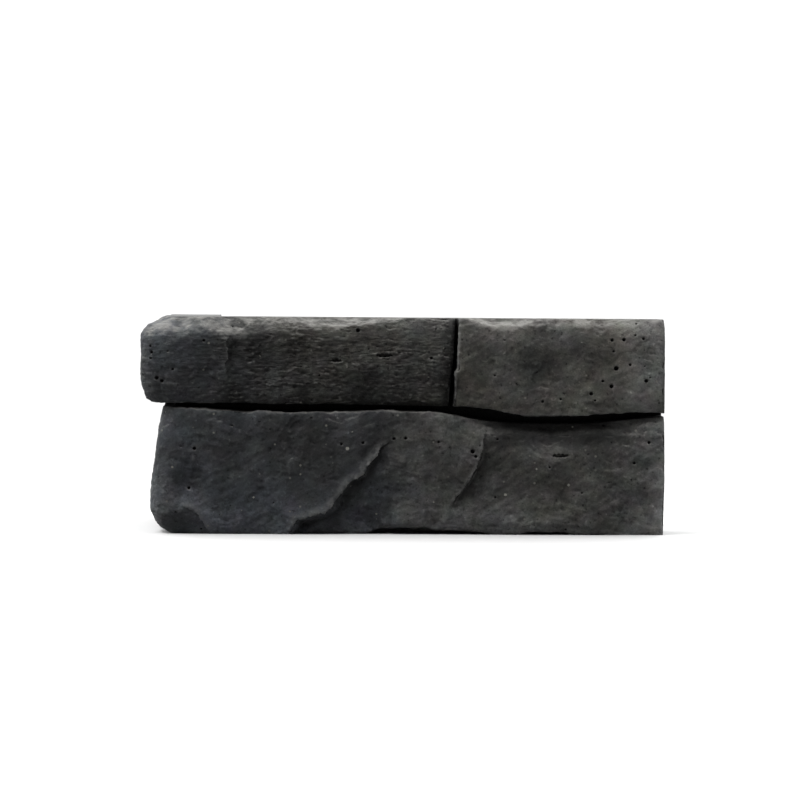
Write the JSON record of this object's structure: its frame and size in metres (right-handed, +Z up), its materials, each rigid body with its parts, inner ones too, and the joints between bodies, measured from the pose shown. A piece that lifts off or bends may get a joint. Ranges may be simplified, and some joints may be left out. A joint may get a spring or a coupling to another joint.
{
  "type": "faux stone veneer corner",
  "caption": "L-shaped cast concrete veneer unit with a ledgestone face that turns an outside wall corner, flat on its backs, bed, top and ends.",
  "frame": {"origin": "middle of the bounding box in plan, on the bed the unit stands on", "axes": "+X along the long leg from the outside corner to its butt end, the stone face of the long leg looks along -Y, the return runs back along +Y, +Z up"},
  "size_m": [0.248, 0.1139, 0.102],
  "materials": {
    "cast_concrete": "matt charcoal, dyed right through, as moulded"
  },
  "bodies": {
    "root": {"veneer_corner": "cast_concrete"}
  },
  "joints": []
}
